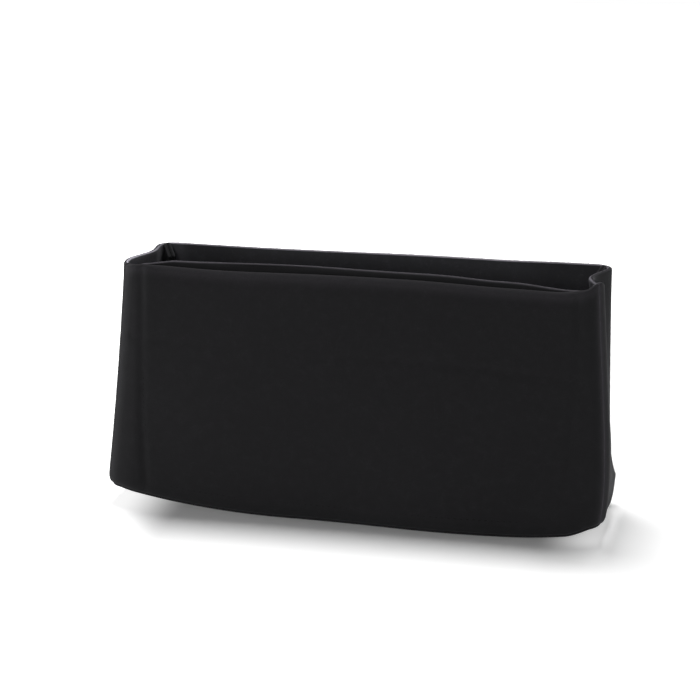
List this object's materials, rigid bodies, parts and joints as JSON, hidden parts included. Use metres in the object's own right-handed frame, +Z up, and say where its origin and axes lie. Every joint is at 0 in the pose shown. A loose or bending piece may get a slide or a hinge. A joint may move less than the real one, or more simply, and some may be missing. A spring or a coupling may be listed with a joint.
{
  "type": "purse organizer insert",
  "caption": "Open-topped soft felt box that stands inside a handbag, with a slip pocket inside the front, a compartment pocket inside the back and a loose base board.",
  "frame": {"origin": "on the surface the insert stands on, under the middle of the rim", "axes": "+X along the long side, +Z up, the front wall faces -Y"},
  "size_m": [0.2558, 0.0737, 0.1282],
  "materials": {
    "wall_felt": "matt felt, cut edges",
    "pocket_felt": "matt felt, thinner",
    "board_felt": "matt felt, pressed",
    "board_plastic": "matt"
  },
  "bodies": {
    "felt_box": {"front_panel": "wall_felt", "back_panel": "wall_felt", "left_side_panel": "wall_felt", "right_side_panel": "wall_felt", "bottom_panel": "wall_felt", "front_inner_pocket": "pocket_felt", "back_inner_pocket": "pocket_felt"},
    "base_board": {"base_board_core": "board_plastic", "base_board_felt": "board_felt"}
  },
  "joints": [
    {"name": "base_board_lift", "type": "slide", "parent": "felt_box", "child": "base_board", "axis": [0, 0, 1], "range_m": [0, 0.135]}
  ]
}
